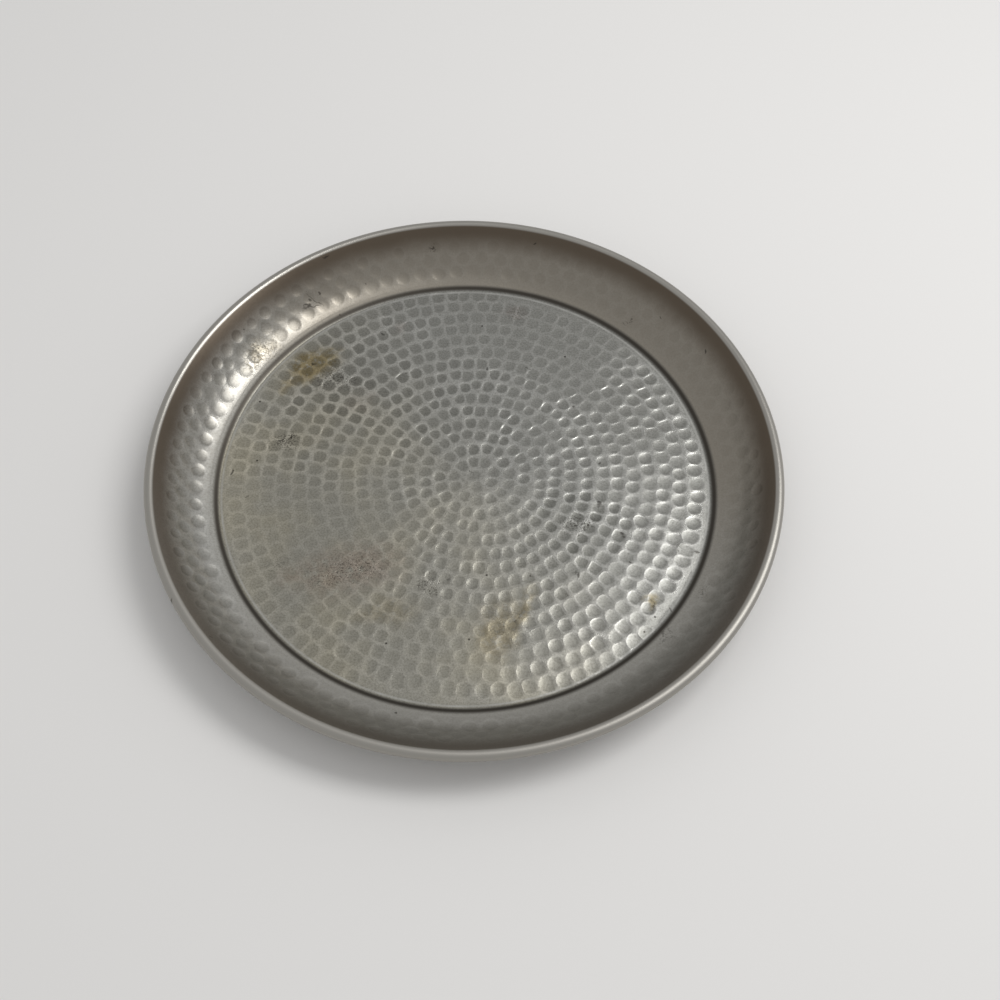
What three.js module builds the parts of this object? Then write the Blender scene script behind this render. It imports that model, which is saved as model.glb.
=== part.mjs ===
// Round serving tray of hammered sheet aluminium with a wired edge.
// Millimetres, +Z up. The origin is the centre of the flat underside that the tray rests on.
// The sheet is described from the centre outwards as a strip that is bent again and again:
// flat floor, low riser, coved border, straight flare, and a curl rolled over the rim wire.

import * as THREE from 'three';
import * as BufferGeometryUtils from 'three/addons/utils/BufferGeometryUtils.js';

// Sheet
const SHEET_THICKNESS = 1.2;

// Floor and the low riser round it; every bend radius is that of the bend's inner side
const FLOOR_RADIUS = 141;
const CORNER_RADIUS = 1.0;
const RISER_SLOPE_DEG = 32;
const RISER_LENGTH = 1.6;
const SHOULDER_RADIUS = 2.4;

// Border: a cove that starts at the shoulder and runs out into a straight flare
const BORDER_START_SLOPE_DEG = 12;
const COVE_RADIUS = 27;
const FLARE_SLOPE_DEG = 48.5;
const FLARE_LENGTH = 21.4;

// Wired edge
const WIRE_DIAMETER = 3.0;
const WIRE_CLEARANCE = 0.3;
const CURL_SEAM_GAP = 0.35;
const WIRE_BUTT_GAP = 0.8;

// Facets
const TURN_FACETS = 84;
const ARC_TOLERANCE = 0.05;
const MIN_ARC_FACETS = 2;
const WIRE_SIDES = 10;

// Finishes
const HAMMERED_ALUMINIUM = { color: 0x8b8a84, roughness: 0.45, metalness: 1 };
const DULL_STEEL = { color: 0x74767a, roughness: 0.5, metalness: 1 };

const radians = THREE.MathUtils.degToRad;

// A pen that draws the upper face of the bent sheet, as stations of a point and a slope.
class SheetPen {
  constructor(radius, height) {
    this.point = new THREE.Vector2(radius, height);
    this.slope = 0;
    this.stations = [];
    this.mark();
  }

  mark() {
    this.stations.push({ point: this.point.clone(), slope: this.slope });
  }

  // Unit normal on the upper side of the sheet.
  normal() {
    return new THREE.Vector2(-Math.sin(this.slope), Math.cos(this.slope));
  }

  straight(length) {
    this.point.x += length * Math.cos(this.slope);
    this.point.y += length * Math.sin(this.slope);
    this.mark();
  }

  // Bends the sheet to a new slope. Upward bends have their centre above the sheet, and
  // downward bends have it below, where the inner side of the bend is the lower face.
  bend(innerRadius, newSlope) {
    const turn = newSlope - this.slope;
    const startSlope = this.slope;
    const faceRadius = turn > 0 ? innerRadius : innerRadius + SHEET_THICKNESS;
    const side = Math.sign(turn);
    const centre = this.point.clone().addScaledVector(this.normal(), side * faceRadius);
    const facetTurn = 2 * Math.acos(1 - ARC_TOLERANCE / faceRadius);
    const facets = Math.max(MIN_ARC_FACETS, Math.ceil(Math.abs(turn) / facetTurn));
    for (let step = 1; step <= facets; step += 1) {
      this.slope = startSlope + (turn * step) / facets;
      this.point.copy(centre).addScaledVector(this.normal(), -side * faceRadius);
      this.mark();
    }
    return centre;
  }
}

const wireRadius = WIRE_DIAMETER / 2;
const curlInnerRadius = wireRadius + WIRE_CLEARANCE;
const curlOuterRadius = curlInnerRadius + SHEET_THICKNESS;

// The curl stops where its outer face comes within the seam gap of the flare's underside.
const curlStopAngle = Math.acos((curlInnerRadius - CURL_SEAM_GAP) / curlOuterRadius);
const curlTurn = 2 * Math.PI - curlStopAngle;

const pen = new SheetPen(0, SHEET_THICKNESS);
pen.straight(FLOOR_RADIUS);
pen.bend(CORNER_RADIUS, radians(RISER_SLOPE_DEG));
pen.straight(RISER_LENGTH);
pen.bend(SHOULDER_RADIUS, radians(BORDER_START_SLOPE_DEG));
pen.bend(COVE_RADIUS, radians(FLARE_SLOPE_DEG));
pen.straight(FLARE_LENGTH);
const wireCentre = pen.bend(curlInnerRadius, radians(FLARE_SLOPE_DEG) - curlTurn);

// Turns a lathe geometry, which spins about Y, to the tray's axis, and closes its seam.
function standUp(geometry) {
  geometry.rotateX(Math.PI / 2);
  geometry.deleteAttribute('normal');
  geometry.deleteAttribute('uv');
  const merged = BufferGeometryUtils.mergeVertices(geometry);
  merged.computeVertexNormals();
  return merged;
}

function makeTraySheet() {
  const upperFace = pen.stations.map((station) => station.point);
  const lowerFace = pen.stations.map(({ point, slope }) => new THREE.Vector2(
    point.x + SHEET_THICKNESS * Math.sin(slope),
    point.y - SHEET_THICKNESS * Math.cos(slope),
  ));
  const outline = [...lowerFace, ...upperFace.reverse()];
  const geometry = standUp(new THREE.LatheGeometry(outline, TURN_FACETS));
  const mesh = new THREE.Mesh(geometry, new THREE.MeshStandardMaterial(HAMMERED_ALUMINIUM));
  mesh.name = 'tray_sheet';
  return mesh;
}

// The rim wire's centre line: a ring with a small gap where the two cut ends meet.
class WirePath extends THREE.Curve {
  getPoint(share, target = new THREE.Vector3()) {
    const gapAngle = WIRE_BUTT_GAP / wireCentre.x;
    const angle = gapAngle / 2 + share * (2 * Math.PI - gapAngle);
    return target.set(wireCentre.x * Math.cos(angle), wireCentre.x * Math.sin(angle), wireCentre.y);
  }
}

function makeRimWire() {
  const section = new THREE.Shape();
  section.absarc(0, 0, wireRadius, 0, 2 * Math.PI);
  const geometry = new THREE.ExtrudeGeometry(section, {
    steps: TURN_FACETS,
    curveSegments: WIRE_SIDES / 2,
    bevelEnabled: false,
    extrudePath: new WirePath(),
  });
  const mesh = new THREE.Mesh(geometry, new THREE.MeshStandardMaterial(DULL_STEEL));
  mesh.name = 'rim_wire';
  return mesh;
}

const tray = new THREE.Group();
tray.add(makeTraySheet(), makeRimWire());

export default tray;
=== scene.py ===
import math
import random

import bmesh
import bpy
from mathutils import Matrix, Vector
from mathutils.kdtree import KDTree


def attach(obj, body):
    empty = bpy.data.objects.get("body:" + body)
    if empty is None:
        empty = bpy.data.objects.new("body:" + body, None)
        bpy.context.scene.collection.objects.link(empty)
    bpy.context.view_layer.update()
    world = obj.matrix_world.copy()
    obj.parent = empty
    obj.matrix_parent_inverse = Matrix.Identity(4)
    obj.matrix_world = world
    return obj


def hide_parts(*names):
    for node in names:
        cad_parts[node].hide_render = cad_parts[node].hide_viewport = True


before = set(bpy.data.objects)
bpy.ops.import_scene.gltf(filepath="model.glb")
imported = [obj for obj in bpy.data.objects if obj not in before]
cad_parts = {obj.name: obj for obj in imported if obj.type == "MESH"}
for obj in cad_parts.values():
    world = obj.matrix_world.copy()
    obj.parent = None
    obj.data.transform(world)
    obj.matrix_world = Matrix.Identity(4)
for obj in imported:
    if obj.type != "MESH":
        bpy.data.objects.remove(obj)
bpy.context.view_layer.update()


# The tray sheet: form
# One disc of 1.2 mm aluminium, spun over a former: a flat floor, a low riser round it and a coved
# border that flares out. The edge is rolled over a wire, so that it ends in a round bead.
MM = 0.001
SHEET_THICKNESS = 1.2 * MM
FLOOR_RADIUS = 141 * MM
CORNER_RADIUS = 1.0 * MM
RISER_SLOPE = math.radians(32)
RISER_LENGTH = 1.6 * MM
SHOULDER_RADIUS = 2.4 * MM
BORDER_START_SLOPE = math.radians(12)
COVE_RADIUS = 27 * MM
FLARE_SLOPE = math.radians(48.5)
FLARE_LENGTH = 21.4 * MM
CURL_INNER_RADIUS = 1.8 * MM
CURL_SEAM_GAP = 0.35 * MM


class SheetProfile:
    """The sheet's upper face in section, from the axis outwards: straights and bends end to end."""

    def __init__(self, height):
        self.point = Vector((0.0, height))
        self.slope = 0.0
        self.length = 0.0
        self.runs = []

    def straight(self, length):
        self.add_run(length, 0.0)

    def bend(self, face_radius, new_slope):
        turn = new_slope - self.slope
        self.add_run(abs(turn) * face_radius, math.copysign(1 / face_radius, turn))

    def add_run(self, length, curvature):
        self.runs.append((self.length, length, curvature, self.point, self.slope))
        self.length += length
        self.point, self.slope = self.at(self.length)

    def at(self, along):
        """Point (radius, height) and slope of the face that far out from the axis along the sheet."""
        begin, _, curvature, point, slope = [run for run in self.runs if run[0] <= along][-1]
        step = along - begin
        turned = slope + curvature * step
        if curvature:
            move = Vector((math.sin(turned) - math.sin(slope), math.cos(slope) - math.cos(turned)))
            return point + move / curvature, turned
        return point + Vector((math.cos(slope), math.sin(slope))) * step, slope

    def below(self, along, depth):
        """Point in the sheet at a depth square to its upper face."""
        point, slope = self.at(along)
        return point + Vector((math.sin(slope), -math.cos(slope))) * depth

    def stations(self, begin, end, tolerance):
        """Distances along the sheet that draw it from begin to end with facets of that tolerance."""
        marks = []
        for start, length, curvature, _, _ in self.runs:
            facets = 1
            if curvature:
                facet_turn = 2 * math.acos(1 - tolerance * abs(curvature))
                facets = math.ceil(abs(curvature) * length / facet_turn)
            marks += [start + length * step / facets for step in range(1, facets + 1)]
        return [begin] + [mark for mark in marks if begin < mark < end] + [end]


curl_outer_radius = CURL_INNER_RADIUS + SHEET_THICKNESS
curl_turn = 2 * math.pi - math.acos((CURL_INNER_RADIUS - CURL_SEAM_GAP) / curl_outer_radius)

profile = SheetProfile(SHEET_THICKNESS)
profile.straight(FLOOR_RADIUS)
profile.bend(CORNER_RADIUS, RISER_SLOPE)
profile.straight(RISER_LENGTH)
profile.bend(SHOULDER_RADIUS + SHEET_THICKNESS, BORDER_START_SLOPE)
profile.bend(COVE_RADIUS, FLARE_SLOPE)
profile.straight(FLARE_LENGTH)
profile.bend(curl_outer_radius, FLARE_SLOPE - curl_turn)


# The tray sheet: hammer marks
# Blows of a round-faced hammer, laid in a spiral from the middle of the floor and in three staggered
# rows round the border. Each sinks a shallow round dish, and a narrow ridge is left where two meet.
BLOW_SEED = 23
BLOW_RADIUS_INNER = 4.2 * MM
BLOW_RADIUS_OUTER = 4.8 * MM
BLOW_RADIUS_SPREAD = 0.12
BLOW_DEPTH_SPREAD = 0.4
# How each hammer's face leaves its mark: depth in the middle, and the power of its fall to the lip.
FLOOR_FACE = (0.3 * MM, 2.2)
BORDER_FACE = (0.36 * MM, 2.2)

SPIRAL_CENTRE = Vector((7 * MM, 1 * MM, 0))
SPIRAL_START_TURN = 0.45
SPIRAL_TURN_PITCH = 9.0 * MM
SPIRAL_BLOW_PITCH_INNER = 7.5 * MM
SPIRAL_BLOW_PITCH_OUTER = 8.8 * MM
SPIRAL_PITCH_CHANGE = (55 * MM, 105 * MM)
SPIRAL_WANDER = 1.4 * MM
ZONE_EDGE_MARGIN = 0.5 * MM
FLOOR_EDGE_LEAST_REACH = 2.2 * MM

# Rows of marks on the border: distance from the axis along the sheet, and radius of the marks.
BORDER_ROWS = ((154.6 * MM, 4.7 * MM), (163.3 * MM, 4.5 * MM), (170.4 * MM, 4.0 * MM))
ROW_MARKS = 87
ROW_WANDER = 1.2 * MM
BORDER_ZONE = (147.3 * MM, 176.6 * MM)
BORDER_HARDEST_DEG = 215
BORDER_LEAST_SHARE = 0.35
BORDER_MOST_SHARE = 0.95
BORDER_OXIDE = 0.45

# Places on the floor where use has worn the marks away: centre, radius and share of the depth lost.
WORN_PLACES = (
    ((-78, -42), 66, 0.62),
    ((60, 100), 56, 0.55),
    ((5, 118), 50, 0.5),
    ((-122, -22), 44, 0.45),
    ((-5, -118), 60, 0.45),
    ((-92, -100), 56, 0.4),
)

# Places where dirt has settled in the marks: centre, radius and how dark it has made them.
DIRTY_PLACES = (
    ((-84, 62), 64, 0.55),
    ((66, -28), 36, 0.9),
    ((-14, 44), 72, 0.35),
    ((62, -58), 60, 0.4),
    ((-100, 5), 40, 0.2),
)
CLEAN_OXIDE = 0.2
# Share of such a place's radius within which it has its full strength.
PLACE_CORE = 0.2


def smooth_step(begin, end, value):
    share = min(1.0, max(0.0, (value - begin) / (end - begin)))
    return share * share * (3 - 2 * share)


def share_left(place, patches):
    """What is left of a whole at a place, when each patch takes its share round its centre."""
    left = 1.0
    for (x, y), radius, share in patches:
        distance = (place - Vector((x * MM, y * MM, 0))).length
        left *= 1 - share * (1 - smooth_step(PLACE_CORE * radius * MM, radius * MM, distance))
    return left


class Blow:
    """One hammer blow on the flat blank: where it lands, its reach, its depth and how dull it is."""

    def __init__(self, place, radius, share, oxide, chance):
        self.place = place
        self.oxide = oxide
        self.radius = radius * (1 + chance.uniform(-BLOW_RADIUS_SPREAD, BLOW_RADIUS_SPREAD))
        self.share = share * (1 + chance.uniform(-BLOW_DEPTH_SPREAD, BLOW_DEPTH_SPREAD))

    def sunk(self, vert, share, face):
        """Where a point of the mark ends when it is drawn in to a share of its reach and hammered."""
        depth, power = face
        arm = Vector((vert.co.x, vert.co.y, 0)) - self.place
        inside = min(1.0, arm.length * share / self.radius)
        sink = depth * self.share * (1 - inside ** power)
        return self.place + arm * share - Vector((0, 0, sink))


def turned_vector(angle, length):
    return Vector((math.cos(angle), math.sin(angle), 0)) * length


def floor_blows(chance):
    blows = []
    angle = SPIRAL_START_TURN * 2 * math.pi
    reach = 0.0
    while reach < FLOOR_RADIUS + SPIRAL_CENTRE.length:
        reach = SPIRAL_TURN_PITCH * angle / (2 * math.pi)
        wander = turned_vector(chance.uniform(0, 2 * math.pi), chance.uniform(0, SPIRAL_WANDER))
        place = SPIRAL_CENTRE + turned_vector(angle, reach) + wander
        outer = smooth_step(*SPIRAL_PITCH_CHANGE, reach)
        radius = BLOW_RADIUS_INNER + outer * (BLOW_RADIUS_OUTER - BLOW_RADIUS_INNER)
        oxide = 1 - (1 - CLEAN_OXIDE) * share_left(place, DIRTY_PLACES)
        blow = Blow(place, radius, share_left(place, WORN_PLACES), oxide, chance)
        if place.length < FLOOR_RADIUS - ZONE_EDGE_MARGIN - FLOOR_EDGE_LEAST_REACH:
            blows.append(blow)
        pitch = SPIRAL_BLOW_PITCH_INNER + outer * (SPIRAL_BLOW_PITCH_OUTER - SPIRAL_BLOW_PITCH_INNER)
        angle += pitch / reach
    return blows


def border_depth(angle):
    """Share of the full depth at an angle round the border, which was struck hardest on one side."""
    hardest = math.radians(BORDER_HARDEST_DEG)
    facing = 0.5 + 0.5 * math.cos(angle - hardest)
    return BORDER_LEAST_SHARE + facing * (BORDER_MOST_SHARE - BORDER_LEAST_SHARE)


def border_blows(chance):
    blows = []
    for row, (distance, radius) in enumerate(BORDER_ROWS):
        for mark in range(ROW_MARKS):
            angle = 2 * math.pi * (mark + row / 2) / ROW_MARKS
            wander = turned_vector(chance.uniform(0, 2 * math.pi), chance.uniform(0, ROW_WANDER))
            place = turned_vector(angle, distance) + wander
            blows.append(Blow(place, radius, border_depth(angle), BORDER_OXIDE, chance))
    return blows


# The tray sheet: mesh
# The blank is laid out flat, with a circle for every mark and plain land filled in between them. The
# marks are sunk, the blank is bent over the profile, and the plain bands and the underside are spun.
TURN_STEPS = 240
BLOW_SIDES = 14
LIP_WIDTH = 0.3 * MM
# Rings of a dish from its lip inwards: share of the last ring's reach, oxide and polish on it. The
# polish on the lip rings is partly a painted highlight along the rim.
DISH_RINGS = ((1.0, 0.0, 0.7), (0.94, 0.2, 0.6), (0.8, 0.8, 0.0), (0.55, 1.0, 0.0))
LAND_POLISH = 0.12
# Marks as near as this cut each other short. The earlier one keeps its share of the gap between their
# middles, the later one the rest, and a ridge stands between them.
MEETING_DISTANCE = 13 * MM
EARLIER_SHARE = 0.42
RIDGE_WIDTH = 0.5 * MM
LONGEST_LAND_EDGE = 3.2 * MM
FACET_TOLERANCE = 0.05 * MM
MERGE_DISTANCE = 0.001 * MM


def add_circle(bm, radius, sides, place=Vector(), capped=False):
    made = bmesh.ops.create_circle(
        bm, cap_ends=capped, segments=sides, radius=radius, matrix=Matrix.Translation(place)
    )
    return made["verts"]


def reach_to_edge(place, direction, edge_radius):
    """How far a line from a place runs until it meets a circle round the axis."""
    middle = place.dot(direction)
    return math.sqrt(middle * middle + edge_radius * edge_radius - place.length_squared) - middle


def add_dish_outline(bm, blow, cuts, edge_radius):
    """Draws a mark's lip, cut short by the lines where other marks meet it and by the zone's edge."""
    lip = add_circle(bm, blow.radius + LIP_WIDTH, BLOW_SIDES, blow.place, capped=True)
    for vert in lip:
        direction = (vert.co - blow.place).normalized()
        reach = min(blow.radius + LIP_WIDTH, reach_to_edge(blow.place, direction, edge_radius))
        for cut_direction, cut_reach in cuts:
            facing = cut_direction.dot(direction)
            if facing > 0:
                reach = min(reach, cut_reach / facing)
        vert.co = blow.place + direction * reach
    return lip


def nearest_finder(blows):
    finder = KDTree(len(blows))
    for index, blow in enumerate(blows):
        finder.insert(blow.place, index)
    finder.balance()
    return finder


def hammered_zone(zone_radii, blows, face):
    """The blank between the zone's circles, filled with marks and land, still flat."""
    bm = bmesh.new()
    finder = nearest_finder(blows)
    verts = [vert for radius in zone_radii for vert in add_circle(bm, radius, TURN_STEPS)]
    dishes = []
    for index, blow in enumerate(blows):
        cuts = []
        for place, found, _ in finder.find_range(blow.place, MEETING_DISTANCE):
            if found != index:
                gap = place - blow.place
                share = EARLIER_SHARE if index < found else 1 - EARLIER_SHARE
                cuts.append((gap.normalized(), gap.length * share - RIDGE_WIDTH / 2))
        lip = add_dish_outline(bm, blow, cuts, max(zone_radii) - ZONE_EDGE_MARGIN)
        dishes += lip[0].link_faces
        verts += lip
    edges = list({edge for vert in verts for edge in vert.link_edges})
    land = bmesh.ops.triangle_fill(bm, edges=edges, use_beauty=True, normal=(0, 0, 1))
    long_edges = [
        item
        for item in land["geom"]
        if isinstance(item, bmesh.types.BMEdge) and item.calc_length() > LONGEST_LAND_EDGE
    ]
    bmesh.ops.subdivide_edges(bm, edges=long_edges, cuts=1, use_grid_fill=True)
    oxide = bm.verts.layers.float.new("oxide")
    polish_and_glint = bm.verts.layers.float.new("polish_and_glint")
    for vert in bm.verts:
        _, nearest, _ = finder.find(vert.co)
        vert[polish_and_glint] = LAND_POLISH * blows[nearest].share
    # The polish layer on the lip rings also carries a painted highlight.
    for ring, (share, ring_oxide, ring_polish) in enumerate(DISH_RINGS):
        if ring:
            bmesh.ops.inset_individual(bm, faces=dishes, thickness=0.0)
        for dish, blow in zip(dishes, blows):
            for vert in dish.verts:
                vert.co = blow.sunk(vert, share, face)
                vert[oxide] = ring_oxide * blow.share * blow.oxide
                vert[polish_and_glint] = ring_polish * blow.share
    return bm


chance = random.Random(BLOW_SEED)
on_floor = floor_blows(chance)
on_border = border_blows(chance)

sheet_mesh = bmesh.new()


def join_to_sheet(part):
    passing_mesh = bpy.data.meshes.new("passing")
    part.to_mesh(passing_mesh)
    part.free()
    sheet_mesh.from_mesh(passing_mesh)
    bpy.data.meshes.remove(passing_mesh)


join_to_sheet(hammered_zone((FLOOR_RADIUS,), on_floor, FLOOR_FACE))
join_to_sheet(hammered_zone(BORDER_ZONE, on_border, BORDER_FACE))

for vert in sheet_mesh.verts:
    direction = vert.co.xy.normalized()
    radius, height = profile.below(vert.co.xy.length, -vert.co.z)
    vert.co = (direction.x * radius, direction.y * radius, height)


def spun_band(outline):
    """A line of (radius, height) points spun round the axis."""
    bm = bmesh.new()
    verts = [bm.verts.new((radius, 0, height)) for radius, height in outline]
    edges = [bm.edges.new(pair) for pair in zip(verts, verts[1:])]
    bmesh.ops.spin(
        bm, geom=verts + edges, axis=(0, 0, 1), cent=(0, 0, 0), angle=2 * math.pi,
        steps=TURN_STEPS, use_merge=True,
    )
    return bm


riser_band = profile.stations(FLOOR_RADIUS, BORDER_ZONE[0], FACET_TOLERANCE)
join_to_sheet(spun_band([profile.at(along)[0] for along in riser_band]))
bead_band = profile.stations(BORDER_ZONE[1], profile.length, FACET_TOLERANCE)
underside = profile.stations(0.0, profile.length, FACET_TOLERANCE)
upper_line = [profile.at(along)[0] for along in bead_band]
lower_line = [profile.below(along, SHEET_THICKNESS) for along in reversed(underside)]
join_to_sheet(spun_band(upper_line + lower_line))

bmesh.ops.remove_doubles(sheet_mesh, verts=sheet_mesh.verts, dist=MERGE_DISTANCE)
bmesh.ops.recalc_face_normals(sheet_mesh, faces=sheet_mesh.faces)
for face in sheet_mesh.faces:
    face.smooth = True

tray_mesh = bpy.data.meshes.new("hammered_sheet")
sheet_mesh.to_mesh(tray_mesh)
sheet_mesh.free()
hammered_sheet = bpy.data.objects.new("hammered_sheet", tray_mesh)
bpy.context.scene.collection.objects.link(hammered_sheet)


# The tray sheet: finish
# Bare aluminium gone satin and grey with use. Ridges are polished brighter than the dishes, with a
# painted highlight on the lips. A brown film darkens the upper border, partly painted shade on the steep
# wall, and is thinned on the near side and the left as painted reflection and sheen. A painted highlight
# runs round the floor's edge, and the groove round the floor is darkened by dirt and painted shade.


class Value:
    """A socket in a finish. Sums written with it add Math nodes."""

    def __init__(self, finish, socket):
        self.finish = finish
        self.socket = socket

    def math(self, operation, first, second):
        return self.finish.node("ShaderNodeMath", {"operation": operation}, {0: first, 1: second})

    def __add__(self, other):
        return self.math("ADD", self, other)

    __radd__ = __add__

    def __sub__(self, other):
        return self.math("SUBTRACT", self, other)

    def __rsub__(self, other):
        return self.math("SUBTRACT", other, self)

    def __mul__(self, other):
        return self.math("MULTIPLY", self, other)

    __rmul__ = __mul__

    def __pow__(self, power):
        return self.math("POWER", self, power)


class Finish:
    """A material on a Principled shader, with the nodes that feed it."""

    def __init__(self, name):
        self.material = bpy.data.materials.new(name)
        self.material.use_nodes = True
        self.nodes = self.material.node_tree.nodes
        self.links = self.material.node_tree.links
        self.shader = self.nodes["Principled BSDF"]
        self.place = self.node("ShaderNodeTexCoord", output="Object")

    def feed(self, socket, value):
        if isinstance(value, Value):
            self.links.new(value.socket, socket)
        else:
            socket.default_value = value

    def node(self, kind, settings=None, sockets=None, output=0):
        made = self.nodes.new(kind)
        for name, setting in (settings or {}).items():
            setattr(made, name, setting)
        for name, value in (sockets or {}).items():
            self.feed(made.inputs[name], value)
        return Value(self, made.outputs[output])

    def noise(self, scale, detail, roughness, output=0):
        return self.node(
            "ShaderNodeTexNoise", {},
            {"Vector": self.place, "Scale": scale, "Detail": detail, "Roughness": roughness}, output,
        )

    def ramp(self, value, begin, end):
        """0 at begin and 1 at end, with a smooth change between them."""
        return self.node(
            "ShaderNodeMapRange", {"interpolation_type": "SMOOTHSTEP"},
            {"Value": value, "From Min": begin, "From Max": end},
        )

    def mix(self, share, first, second, blend="MIX"):
        """Colour that goes from first to second with the share, or is tinted by the second."""
        return self.node(
            "ShaderNodeMix", {"data_type": "RGBA", "blend_type": blend},
            {"Factor": share, 6: first, 7: second}, output=2,
        )


def rgb(red, green, blue):
    return (red, green, blue, 1.0)


SATIN_GREY = rgb(0.325, 0.323, 0.30)
DISH_GREY = rgb(0.185, 0.184, 0.168)
# Polish on the ridges, also used as painted highlight on the lips and round the floor's edge.
POLISH_AND_HIGHLIGHT_GREY = rgb(0.50, 0.497, 0.47)
WARM_TINT = rgb(1.16, 1.09, 0.93)
GRAIN_TINT = rgb(0.72, 0.715, 0.71)
BROWN_FILM = rgb(0.265, 0.235, 0.192)
# Brown film on the upper wall, darkened further as painted shade.
DARK_FILM_AND_SHADE = rgb(0.115, 0.091, 0.068)
# Clean polish of the bead, also painted onto the near border as a reflection.
BEAD_POLISH_AND_NEAR_REFLECTION = rgb(0.37, 0.355, 0.325)
# Dirt in the groove, darkened further as painted shade.
GROOVE_DIRT_AND_SHADE = rgb(0.06, 0.054, 0.046)
YELLOW_TINT = rgb(0.80, 0.69, 0.47)
ROSY_TINT = rgb(0.95, 0.86, 0.84)
BLACK_SPECK = rgb(0.035, 0.03, 0.025)

# Stains: place in mm, length and width in mm, turn in degrees, and how strong they are.
YELLOW_STAINS = (
    (-97, 78, 48, 28, 35, 1.3), (-130, 81, 40, 14, 58, 0.4), (22, -96, 56, 34, 70, 0.6),
    (36, -80, 36, 12, 65, 0.5), (104, -76, 13, 8, 60, 0.9), (-112, 62, 18, 10, 55, 0.5),
    (-40, -88, 50, 24, 10, 0.35),
)
ROSY_STAINS = (
    (-62, -62, 84, 48, 15, 0.9), (-96, -70, 26, 16, 30, 0.45), (25, 124, 24, 12, -10, 0.4),
    (-48, 108, 18, 10, 40, 0.4), (-66, 52, 30, 20, 60, 0.25),
)
SPECKLED_PLACES = (
    (-82, 68, 38, 28, 10, 1.0), (-107, 21, 30, 20, 20, 1.0), (-62, -62, 76, 38, 15, 0.9),
    (-17, -71, 26, 16, -35, 1.0), (65, -28, 30, 24, 30, 1.0), (104, -78, 12, 8, 40, 1.0),
    (122, -42, 20, 8, 40, 0.7), (24, -96, 32, 24, 70, 0.45), (26, 122, 26, 14, 0, 0.6),
    (-130, 81, 50, 20, 58, 0.6), (-100, -62, 30, 20, 20, 0.5), (-28, 160, 14, 7, 20, 1.0),
    (96, 116, 10, 6, 40, 0.8), (112, -96, 16, 8, 45, 0.6), (132, -70, 18, 6, 60, 0.6),
)
SCRATCHES = (
    (-107, 22, 17, 0.9, 28, 0.9), (-105, 23, 14, 0.8, 62, 0.9), (-110, 20, 11, 0.8, -12, 0.8),
    (-103, 25, 9, 0.7, 100, 0.7), (-112, 24, 8, 0.7, 45, 0.7), (122, -41, 9, 0.9, 35, 0.8),
    (2, 5, 4, 0.9, -35, 0.8), (65, -28, 6, 0.9, 70, 0.6), (-103, 118, 15, 1.2, 30, 0.8),
    (-99, 121, 9, 1.0, -5, 0.7), (-27, 161, 8, 1.2, 15, 0.8), (31, -88, 14, 0.6, 75, 0.6),
)
# Small black dots: places in mm, and their size.
DOTS = (
    (-122, 7), (100, -94), (-38, -106), (6, -102), (5, 113), (106, -85), (14, -63), (57, 91), (-126, 49),
)
DOT_SIZE = 1.6
# Share of a patch's half width over which it fades out.
STAIN_FADE = 0.8
SPECKLE_FADE = 0.9
SCRATCH_FADE = 0.7
DOT_FADE = 0.5


def stains(finish, place, patches, fade):
    """Sum of soft-edged oval patches, each a row of a stain table."""
    total = 0.0
    for x, y, length, width, turn, strength in patches:
        oval = finish.node(
            "ShaderNodeMapping", {"vector_type": "TEXTURE"},
            {
                "Vector": place,
                "Location": (x * MM, y * MM, 0),
                "Rotation": (0, 0, math.radians(turn)),
                "Scale": (length / 2 * MM, width / 2 * MM, 1),
            },
        )
        reach = finish.node("ShaderNodeVectorMath", {"operation": "LENGTH"}, {0: oval}, "Value")
        total = total + strength * finish.ramp(reach, 1.0, 1.0 - fade)
    return total


satin = Finish("hammered_aluminium")
satin.shader.inputs["Metallic"].default_value = 1.0
oxide = satin.node("ShaderNodeAttribute", {"attribute_name": "oxide"}, output="Fac")
polish_and_glint = satin.node("ShaderNodeAttribute", {"attribute_name": "polish_and_glint"}, output="Fac")
axes = satin.node("ShaderNodeSeparateXYZ", {}, {0: satin.place})
x = Value(satin, axes.socket.node.outputs["X"])
y = Value(satin, axes.socket.node.outputs["Y"])
radius = (x * x + y * y) ** 0.5

# Noise in the finish: cells to the metre, octaves, and how much of one octave the next one keeps.
CLOUD_NOISE = (18, 4.0, 0.55)
MOTTLE_NOISE = (140, 4.0, 0.6)
GRAIN_NOISE = (1500, 2.0, 0.6)
FINE_GRAIN_NOISE = (900, 4.0, 0.8)
PIT_NOISE = (800, 3.0, 0.7)
PATCH_NOISE = (230, 4.0, 0.7)
WALL_NOISE = (60, 3.0, 0.55)
DRIFT_NOISE = (90, 4.0, 0.5)
# Levels of the noise between which a pattern goes from nothing to full.
CLOUD_LEVELS = (0.35, 0.7)
FINE_GRAIN_LEVELS = (0.42, 0.62)
PIT_LEVELS = (0.51, 0.58)
PATCH_LEVELS = (0.30, 0.55)

cloud = satin.ramp(satin.noise(*CLOUD_NOISE), *CLOUD_LEVELS)
mottle = satin.noise(*MOTTLE_NOISE)
grain = satin.noise(*GRAIN_NOISE)
fine_grain = satin.ramp(satin.noise(*FINE_GRAIN_NOISE), *FINE_GRAIN_LEVELS)
pits = satin.ramp(satin.noise(*PIT_NOISE), *PIT_LEVELS)
patchy = satin.ramp(satin.noise(*PATCH_NOISE), *PATCH_LEVELS)

# Zones of the finish: distances from the axis between which each one fades in or out.
BORDER_SPAN = (141.5 * MM, 145.5 * MM)
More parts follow.
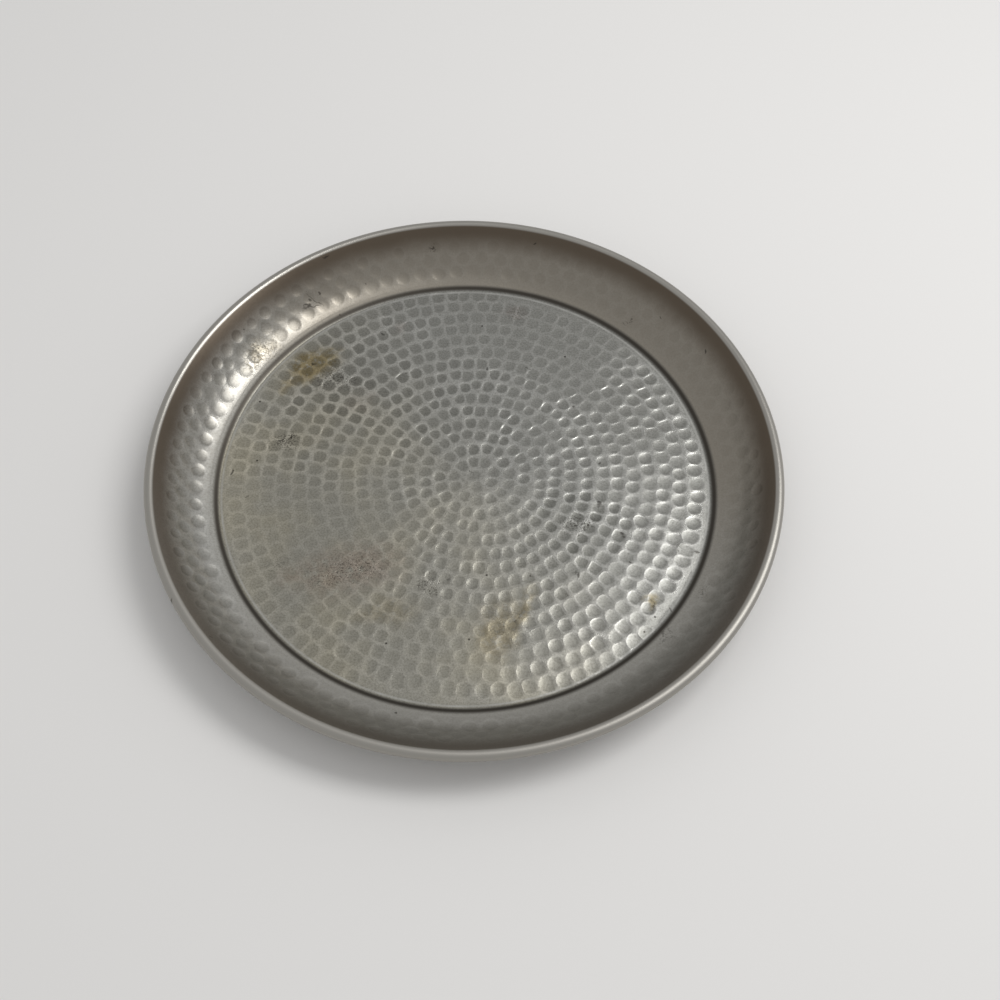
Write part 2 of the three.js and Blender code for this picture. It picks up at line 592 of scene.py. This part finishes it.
# Span of the dark wall film, which is partly painted shade.
WALL_FILM_AND_SHADE_SPAN = (161.3 * MM, 172.3 * MM)
WALL_FILM_AND_SHADE_WANDER = 3 * MM
BEAD_SPAN = (172.4 * MM, 173.4 * MM)
GROOVE_IN = (140.4 * MM, 142.7 * MM)
GROOVE_OUT = (143.3 * MM, 145.7 * MM)
# Span of the painted highlight round the floor's edge.
EDGE_HIGHLIGHT_IN = (139.2 * MM, 140.0 * MM)
EDGE_HIGHLIGHT_OUT = (140.4 * MM, 140.9 * MM)
# Sides of the tray with their own colour: spans along Y, along X, and across at a slant. The near side
# is lighter as a painted reflection, the left side lighter as a painted sheen, and the slant carries a
# warm tint.
NEAR_SPAN = (20 * MM, -120 * MM)
LEFT_SPAN = (-90 * MM, -150 * MM)
WARM_SPAN = (60 * MM, -100 * MM)
WARM_SLANT = 0.7

border = satin.ramp(radius, *BORDER_SPAN)
up_wall = satin.ramp(radius + WALL_FILM_AND_SHADE_WANDER * satin.noise(*WALL_NOISE), *WALL_FILM_AND_SHADE_SPAN)
bead = satin.ramp(radius, *BEAD_SPAN)
groove = satin.ramp(radius, *GROOVE_IN) * (1 - satin.ramp(radius, *GROOVE_OUT))
# Painted highlight: a bright line round the floor's edge.
painted_edge_highlight = satin.ramp(radius, *EDGE_HIGHLIGHT_IN) * (1 - satin.ramp(radius, *EDGE_HIGHLIGHT_OUT))
# The near side is lightened as a painted reflection.
reflecting_near_side = satin.ramp(y, *NEAR_SPAN)
# The left side is lightened as a painted sheen.
sheen_left_side = satin.ramp(x, *LEFT_SPAN)
warm_side = satin.ramp(WARM_SLANT * y + x, *WARM_SPAN)

# Stains and scratches are laid over a place that drifts with the noise, so that their edges are ragged.
DRIFT = 8 * MM
SPECK_CELLS = 75.0
SPECK_REACH = (0.10, 0.05)
SPECK_LUCK = (0.55, 0.65)

drift = satin.node(
    "ShaderNodeVectorMath", {"operation": "MULTIPLY_ADD"},
    {0: satin.noise(*DRIFT_NOISE, "Color"), 1: (2 * DRIFT, 2 * DRIFT, 0), 2: (-DRIFT, -DRIFT, 0)},
)
ragged_place = satin.node("ShaderNodeVectorMath", {"operation": "ADD"}, {0: satin.place, 1: drift})
yellow = patchy * stains(satin, ragged_place, YELLOW_STAINS, STAIN_FADE)
rosy = patchy * stains(satin, ragged_place, ROSY_STAINS, STAIN_FADE)
speckle = pits * stains(satin, ragged_place, SPECKLED_PLACES, SPECKLE_FADE)
dots = stains(satin, satin.place, [(*dot, DOT_SIZE, DOT_SIZE, 0, 1.0) for dot in DOTS], DOT_FADE)
scratch = dots + stains(satin, ragged_place, SCRATCHES, SCRATCH_FADE)
speck_cell = satin.node(
    "ShaderNodeTexVoronoi", {}, {"Vector": ragged_place, "Scale": SPECK_CELLS}, "Distance"
)
speck_colour = Value(satin, speck_cell.socket.node.outputs["Color"])
speck_luck = satin.node("ShaderNodeSeparateColor", {}, {0: speck_colour}, "Red")
specks = satin.ramp(speck_cell, *SPECK_REACH) * satin.ramp(speck_luck, *SPECK_LUCK)

# How strongly each layer covers what is under it.
RIDGE_POLISH_AND_GLINT = 0.9
LEAST_MOTTLE = 0.45
# Painted sheen on the left side.
LEFT_PAINTED_SHEEN = 0.3
LEAST_WARMTH = 0.4
BORDER_FILM = 0.75
# Film taken off the left side as a painted sheen.
BORDER_FILM_THINNED_FOR_SHEEN = 0.45
# Film taken off the near side, and the near border lightened, as a painted reflection.
BORDER_FILM_THINNED_FOR_REFLECTION = 0.6
NEAR_PAINTED_REFLECTION = 0.45
WALL_FILM_AND_SHADE = 0.95
# Wall film taken off the near side as a painted reflection.
WALL_FILM_THINNED_FOR_REFLECTION = 0.3
SPECKLE_DARKNESS = 0.75
SCRATCH_DARKNESS = 0.85
SPECK_DARKNESS = 0.7

# Lighter colour on the dish lips is polish and painted highlight; on the left side it is painted sheen.
polish_and_sheen = RIDGE_POLISH_AND_GLINT * polish_and_glint * (LEAST_MOTTLE + mottle) + LEFT_PAINTED_SHEEN * sheen_left_side
warmth = warm_side * (LEAST_WARMTH + (1 - LEAST_WARMTH) * cloud) * (1 - border)
film = border * (BORDER_FILM - BORDER_FILM_THINNED_FOR_SHEEN * sheen_left_side - BORDER_FILM_THINNED_FOR_REFLECTION * reflecting_near_side)
# The dark wall film is partly painted shade on the steep upper wall.
wall_film_and_shade = up_wall * (WALL_FILM_AND_SHADE - WALL_FILM_THINNED_FOR_REFLECTION * reflecting_near_side)
black = SCRATCH_DARKNESS * scratch + SPECK_DARKNESS * specks

colour = satin.mix(oxide, SATIN_GREY, DISH_GREY)
colour = satin.mix(polish_and_sheen, colour, POLISH_AND_HIGHLIGHT_GREY)
colour = satin.mix(warmth, colour, WARM_TINT, "MULTIPLY")
colour = satin.mix(fine_grain, colour, GRAIN_TINT, "MULTIPLY")
colour = satin.mix(film, colour, BROWN_FILM)
# Painted reflection: the near border is lightened.
colour = satin.mix(NEAR_PAINTED_REFLECTION * border * reflecting_near_side, colour, BEAD_POLISH_AND_NEAR_REFLECTION)
colour = satin.mix(wall_film_and_shade, colour, DARK_FILM_AND_SHADE)
colour = satin.mix(bead, colour, BEAD_POLISH_AND_NEAR_REFLECTION)
# Painted highlight round the floor's edge.
colour = satin.mix(painted_edge_highlight * mottle, colour, POLISH_AND_HIGHLIGHT_GREY)
# The groove's dark colour is dirt and painted shade.
colour = satin.mix(groove, colour, GROOVE_DIRT_AND_SHADE)
colour = satin.mix(yellow, colour, YELLOW_TINT, "MULTIPLY")
colour = satin.mix(rosy, colour, ROSY_TINT, "MULTIPLY")
colour = satin.mix(SPECKLE_DARKNESS * speckle, colour, BLACK_SPECK)
colour = satin.mix(black, colour, BLACK_SPECK)
satin.feed(satin.shader.inputs["Base Color"], colour)

# Roughness of the clean metal, and what each layer adds to it.
SATIN_ROUGHNESS = 0.27
ADDED_ROUGHNESS = (
    (oxide, 0.08), (polish_and_glint, -0.04), (cloud, 0.05), (mottle, 0.05),
    (groove, 0.1), (speckle, 0.2), (border * reflecting_near_side, 0.15),
)
rough = SATIN_ROUGHNESS
for layer, added in ADDED_ROUGHNESS:
    rough = rough + added * layer
satin.feed(satin.shader.inputs["Roughness"], rough)

GRAIN_RELIEF = 0.6
MOTTLE_RELIEF = 0.4
SPECKLE_RELIEF = -0.5
RELIEF_STRENGTH = 0.35
RELIEF_DEPTH = 0.2 * MM
relief = GRAIN_RELIEF * grain + MOTTLE_RELIEF * mottle + SPECKLE_RELIEF * speckle
bump = satin.node(
    "ShaderNodeBump", {}, {"Strength": RELIEF_STRENGTH, "Distance": RELIEF_DEPTH, "Height": relief}
)
satin.feed(satin.shader.inputs["Normal"], bump)

hammered_sheet.data.materials.append(satin.material)
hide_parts("tray_sheet")
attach(hammered_sheet, "root")


# The rim wire
# A ring of drawn steel wire that stiffens the edge. The sheet is rolled over it, so only the narrow
# seam under the bead lets it show.
WIRE_STEEL = rgb(0.22, 0.222, 0.23)
WIRE_TARNISH = rgb(0.12, 0.11, 0.10)
TARNISH_NOISE = (120, 4.0, 0.55)
TARNISH_LEVELS = (0.4, 0.7)
WIRE_ROUGHNESS = 0.42
TARNISH_ROUGHNESS = 0.2

steel = Finish("rim_wire_steel")
steel.shader.inputs["Metallic"].default_value = 1.0
tarnish = steel.ramp(steel.noise(*TARNISH_NOISE), *TARNISH_LEVELS)
steel.feed(steel.shader.inputs["Base Color"], steel.mix(tarnish, WIRE_STEEL, WIRE_TARNISH))
steel.feed(steel.shader.inputs["Roughness"], WIRE_ROUGHNESS + TARNISH_ROUGHNESS * tarnish)
wire_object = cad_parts["rim_wire"]
wire_object.data.materials.clear()
wire_object.data.materials.append(steel.material)


# Floor, light and camera
# A plain pale floor under a soft even studio: the world gives the fill, and one long soft lamp, high
# on the right and a little behind, gives the bright side of the marks.
STAGE_SIZE = 8.0
STAGE_DROP = 0.2 * MM
STAGE_COLOUR = rgb(0.80, 0.79, 0.775)
STAGE_ROUGHNESS = 0.9

stage_mesh = bmesh.new()
bmesh.ops.create_grid(stage_mesh, x_segments=1, y_segments=1, size=STAGE_SIZE / 2)
bmesh.ops.translate(stage_mesh, verts=stage_mesh.verts, vec=(0, 0, -STAGE_DROP))
stage_data = bpy.data.meshes.new("stage_floor")
stage_mesh.to_mesh(stage_data)
stage_mesh.free()
stage_floor = bpy.data.objects.new("stage_floor", stage_data)
bpy.context.scene.collection.objects.link(stage_floor)
paper = Finish("stage_paper")
paper.shader.inputs["Base Color"].default_value = STAGE_COLOUR
paper.shader.inputs["Roughness"].default_value = STAGE_ROUGHNESS
stage_floor.data.materials.append(paper.material)

WORLD_LEVEL = rgb(0.58, 0.58, 0.58)
world = bpy.data.worlds.new("soft_studio")
world.use_nodes = True
world.node_tree.nodes["Background"].inputs["Color"].default_value = WORLD_LEVEL
bpy.context.scene.world = world

LAMP_DISTANCE = 1.6
LAMP_BEGIN = Vector((0.25, 0.31, 0.915)) * LAMP_DISTANCE
LAMP_END = Vector((0.75, 0.03, 0.66)) * LAMP_DISTANCE
LAMP_WIDTH = 0.5
LAMP_POWER = 9.6
lamp_data = bpy.data.lights.new("soft_lamp", "AREA")
lamp_data.shape = "RECTANGLE"
lamp_data.size = (LAMP_END - LAMP_BEGIN).length
lamp_data.size_y = LAMP_WIDTH
lamp_data.energy = LAMP_POWER
soft_lamp = bpy.data.objects.new("soft_lamp", lamp_data)
lamp_place = (LAMP_BEGIN + LAMP_END) / 2
lamp_back = lamp_place.normalized()
lamp_across = lamp_back.cross(LAMP_END - LAMP_BEGIN).normalized()
lamp_along = lamp_across.cross(lamp_back)
lamp_turn = Matrix((lamp_along, lamp_across, lamp_back)).transposed()
soft_lamp.matrix_world = Matrix.Translation(lamp_place) @ lamp_turn.to_4x4()
bpy.context.scene.collection.objects.link(soft_lamp)

CAMERA_LENS = 43.2
CAMERA_SENSOR = 36.0
CAMERA_ELEVATION = math.radians(58.66)
CAMERA_ROLL = math.radians(1.98)
CAMERA_DISTANCE = 686.7 * MM
CAMERA_TARGET = Vector((19.94 * MM, -14.25 * MM, SHEET_THICKNESS))
CAMERA_CLIP_START = 10 * MM
camera_data = bpy.data.cameras.new("camera")
camera_data.lens = CAMERA_LENS
camera_data.sensor_width = CAMERA_SENSOR
camera_data.clip_start = CAMERA_CLIP_START
camera = bpy.data.objects.new("camera", camera_data)
tilt = Matrix.Rotation(math.pi / 2 - CAMERA_ELEVATION, 4, "X")
roll = Matrix.Rotation(CAMERA_ROLL, 4, "Z")
back = Vector((0, -math.cos(CAMERA_ELEVATION), math.sin(CAMERA_ELEVATION)))
camera.matrix_world = Matrix.Translation(CAMERA_TARGET + back * CAMERA_DISTANCE) @ tilt @ roll
bpy.context.scene.collection.objects.link(camera)
bpy.context.scene.camera = camera
bpy.context.scene.view_settings.view_transform = "Standard"

bpy.context.view_layer.update()
